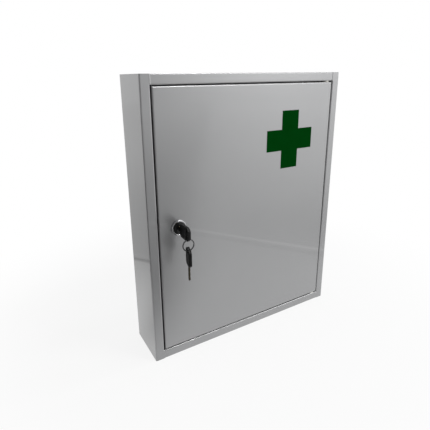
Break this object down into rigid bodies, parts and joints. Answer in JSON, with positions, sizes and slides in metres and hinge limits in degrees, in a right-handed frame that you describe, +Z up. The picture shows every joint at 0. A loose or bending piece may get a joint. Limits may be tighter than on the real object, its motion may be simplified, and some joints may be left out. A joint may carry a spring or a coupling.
{
  "type": "lockable medicine cabinet",
  "caption": "Shallow wall cabinet of folded sheet steel with shelves and a flush pin-hinged door, closed by a wafer cam lock with its key and a spare on a ring.",
  "frame": {"origin": "middle of the cabinet's bottom face", "axes": "+Z up, -Y out of the door, +Y to the wall, +X to the right as seen from the front"},
  "size_m": [0.355, 0.1225, 0.43],
  "materials": {
    "grey_paint": "semi-gloss metallic silver-grey paint",
    "green_film": "satin dark green film",
    "chrome": "polished",
    "spring_steel": "tempered, dull",
    "zinc_steel": "zinc plated",
    "lock_black": "gloss black",
    "brass": "stamped",
    "key_metal": "tarnished brass",
    "black_plastic": "moulded, fine texture",
    "nylon": "natural nylon",
    "rubber": "matt"
  },
  "bodies": {
    "cabinet": {"left_side": "grey_paint", "right_side": "grey_paint", "back_panel": "grey_paint", "top_panel": "grey_paint", "bottom_panel": "grey_paint", "upper_shelf": "grey_paint", "lower_shelf": "grey_paint", "left_shelf_runners": "grey_paint", "right_shelf_runners": "grey_paint", "upper_hinge_bush": "nylon", "lower_hinge_bush": "nylon", "door_stops": "grey_paint", "door_buffers": "rubber"},
    "door": {"door_panel": "grey_paint", "cross_film": "green_film", "upper_hinge_plate": "zinc_steel", "lower_hinge_plate": "zinc_steel", "upper_hinge_pin": "zinc_steel", "lower_hinge_pin": "zinc_steel", "lock_bezel": "chrome", "lock_housing": "lock_black", "lock_nut": "zinc_steel"},
    "lock_rotor": {"lock_plug": "lock_black", "lock_wafers": "brass", "wafer_springs": "zinc_steel", "lock_cam": "zinc_steel", "cam_washer": "zinc_steel", "cam_screw": "zinc_steel"},
    "key": {"key_blade": "key_metal", "key_bow": "black_plastic"},
    "ring": {"key_ring": "spring_steel"},
    "spare_key": {"spare_key_blade": "key_metal", "spare_key_bow": "black_plastic"}
  },
  "joints": [
    {"name": "door_hinge", "type": "hinge", "parent": "cabinet", "child": "door", "pos_m": [0.1526, -0.034, 0.215], "axis": [0, 0, 1], "range_deg": [0, 110]},
    {"name": "lock_turn", "type": "hinge", "parent": "door", "child": "lock_rotor", "pos_m": [-0.1313, -0.03, 0.215], "axis": [0, 1, 0], "range_deg": [0, 90]},
    {"name": "key_slide", "type": "slide", "parent": "lock_rotor", "child": "key", "axis": [0, -1, 0], "range_m": [0, 0.02]},
    {"name": "ring_swing", "type": "hinge", "parent": "key", "child": "ring", "pos_m": [-0.1313, -0.0713, 0.20773], "axis": [1, 0, 0], "range_deg": [-20, 10]},
    {"name": "spare_key_swing", "type": "hinge", "parent": "ring", "child": "spare_key", "pos_m": [-0.1313, -0.0713, 0.19063], "axis": [1, 0, 0], "range_deg": [-20, 10]}
  ]
}
